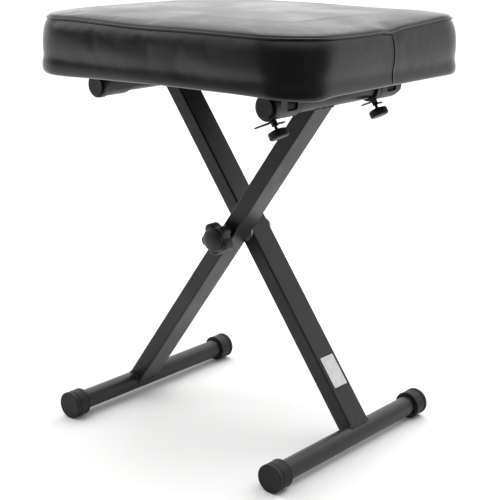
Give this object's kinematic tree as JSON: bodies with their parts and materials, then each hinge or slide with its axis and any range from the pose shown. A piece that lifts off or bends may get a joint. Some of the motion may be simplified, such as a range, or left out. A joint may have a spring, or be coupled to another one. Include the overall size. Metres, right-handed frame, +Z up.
{
  "type": "piano bench",
  "caption": "Folding X-frame bench for a keyboard player: crossed steel legs on round foot tubes carry a padded rectangular seat hooked over the top tubes.",
  "frame": {"origin": "on the floor, under the middle of the seat", "axes": "+Z up, +X along the seat's long side, +Y along the foot tubes, away from the star knob"},
  "size_m": [0.459, 0.367, 0.569],
  "materials": {
    "frame_paint": "satin black powder coat",
    "cap_rubber": "matte moulded rubber",
    "black_plastic": "fine moulded grain",
    "zinc_steel": "zinc plated",
    "seat_vinyl": "soft vinyl with a fine grain, semi-gloss",
    "plywood": "raw plywood",
    "foam": "open-cell foam",
    "dust_cloth": "thin non-woven cloth",
    "label_paper": "plain white sticker"
  },
  "bodies": {
    "near_leg_frame": {"near_leg": "frame_paint", "near_leg_bushing": "zinc_steel", "near_lock_disc": "zinc_steel", "knob_washer": "zinc_steel", "pivot_bolt": "zinc_steel", "left_foot_tube": "frame_paint", "left_front_foot_cap": "cap_rubber", "left_rear_foot_cap": "cap_rubber", "right_top_tube": "frame_paint", "right_front_top_plug": "black_plastic", "right_rear_top_plug": "black_plastic", "right_front_collar": "black_plastic", "right_rear_collar": "black_plastic"},
    "far_leg_frame": {"far_leg": "frame_paint", "far_leg_bushing": "zinc_steel", "far_lock_disc": "zinc_steel", "bolt_washer": "zinc_steel", "blank_label": "label_paper", "right_foot_tube": "frame_paint", "right_front_foot_cap": "cap_rubber", "right_rear_foot_cap": "cap_rubber", "left_top_tube": "frame_paint", "left_front_top_plug": "black_plastic", "left_rear_top_plug": "black_plastic", "left_front_collar": "black_plastic", "left_rear_collar": "black_plastic"},
    "seat": {"seat_board": "plywood", "foam_pad": "foam", "seat_cover": "seat_vinyl", "seat_piping": "seat_vinyl", "dust_cover": "dust_cloth", "left_front_saddle": "frame_paint", "left_rear_saddle": "frame_paint", "right_front_saddle": "frame_paint", "right_rear_saddle": "frame_paint", "left_front_packer": "black_plastic", "left_rear_packer": "black_plastic", "right_front_packer": "black_plastic", "right_rear_packer": "black_plastic", "left_front_screw_outer": "zinc_steel", "left_front_screw_inner": "zinc_steel", "left_rear_screw_outer": "zinc_steel", "left_rear_screw_inner": "zinc_steel", "right_front_screw_outer": "zinc_steel", "right_front_screw_inner": "zinc_steel", "right_rear_screw_outer": "zinc_steel", "right_rear_screw_inner": "zinc_steel"},
    "knob_insert": {"star_knob_insert": "zinc_steel"},
    "star_knob": {"star_knob": "black_plastic"},
    "front_clamp_stud": {"front_clamp_stud": "zinc_steel"},
    "front_clamp_knob": {"front_clamp_knob": "black_plastic"},
    "front_lock_lever": {"front_lock_lever": "frame_paint"},
    "rear_clamp_stud": {"rear_clamp_stud": "zinc_steel"},
    "rear_clamp_knob": {"rear_clamp_knob": "black_plastic"},
    "rear_lock_lever": {"rear_lock_lever": "frame_paint"}
  },
  "joints": [
    {"name": "frame_fold", "type": "hinge", "parent": "near_leg_frame", "child": "far_leg_frame", "pos_m": [-0.005, 0, 0.26986], "axis": [0, 1, 0], "range_deg": [0, 60]},
    {"name": "seat_level", "type": "hinge", "parent": "far_leg_frame", "child": "seat", "pos_m": [-0.1474, 0, 0.4683], "axis": [0, 1, 0], "range_deg": [-30, 0]},
    {"name": "knob_insert_travel", "type": "slide", "parent": "near_leg_frame", "child": "knob_insert", "axis": [0, -1, 0], "range_m": [0, 0.00187]},
    {"name": "star_knob_turn", "type": "hinge", "parent": "knob_insert", "child": "star_knob", "pos_m": [-0.005, -0.05, 0.26986], "axis": [0, -1, 0], "range_deg": [0, 451]},
    {"name": "front_clamp_travel", "type": "slide", "parent": "near_leg_frame", "child": "front_clamp_stud", "axis": [0.4695, 0, -0.8829], "range_m": [0, 0.00275]},
    {"name": "front_clamp_turn", "type": "hinge", "parent": "front_clamp_stud", "child": "front_clamp_knob", "pos_m": [0.1374, -0.12655, 0.4683], "axis": [0.4695, 0, -0.8829], "range_deg": [0, 991]},
    {"name": "front_lock_lever_turn", "type": "hinge", "parent": "near_leg_frame", "child": "front_lock_lever", "pos_m": [0.1374, -0.12655, 0.4683], "axis": [0.4695, 0, -0.8829], "range_deg": [0, 360]},
    {"name": "rear_clamp_travel", "type": "slide", "parent": "near_leg_frame", "child": "rear_clamp_stud", "axis": [0.4695, 0, -0.8829], "range_m": [0, 0.00275]},
    {"name": "rear_clamp_turn", "type": "hinge", "parent": "rear_clamp_stud", "child": "rear_clamp_knob", "pos_m": [0.1374, 0.08125, 0.4683], "axis": [0.4695, 0, -0.8829], "range_deg": [0, 991]},
    {"name": "rear_lock_lever_turn", "type": "hinge", "parent": "near_leg_frame", "child": "rear_lock_lever", "pos_m": [0.1374, 0.08125, 0.4683], "axis": [0.4695, 0, -0.8829], "range_deg": [0, 360]}
  ],
  "couplings": [
    {"joint": "seat_level", "follows": "frame_fold", "ratio": -0.5},
    {"joint": "star_knob_turn", "follows": "knob_insert_travel", "rad_per_m": 4188.8},
    {"joint": "front_clamp_turn", "follows": "front_clamp_travel", "rad_per_m": 6283.2},
    {"joint": "rear_clamp_turn", "follows": "rear_clamp_travel", "rad_per_m": 6283.2}
  ]
}
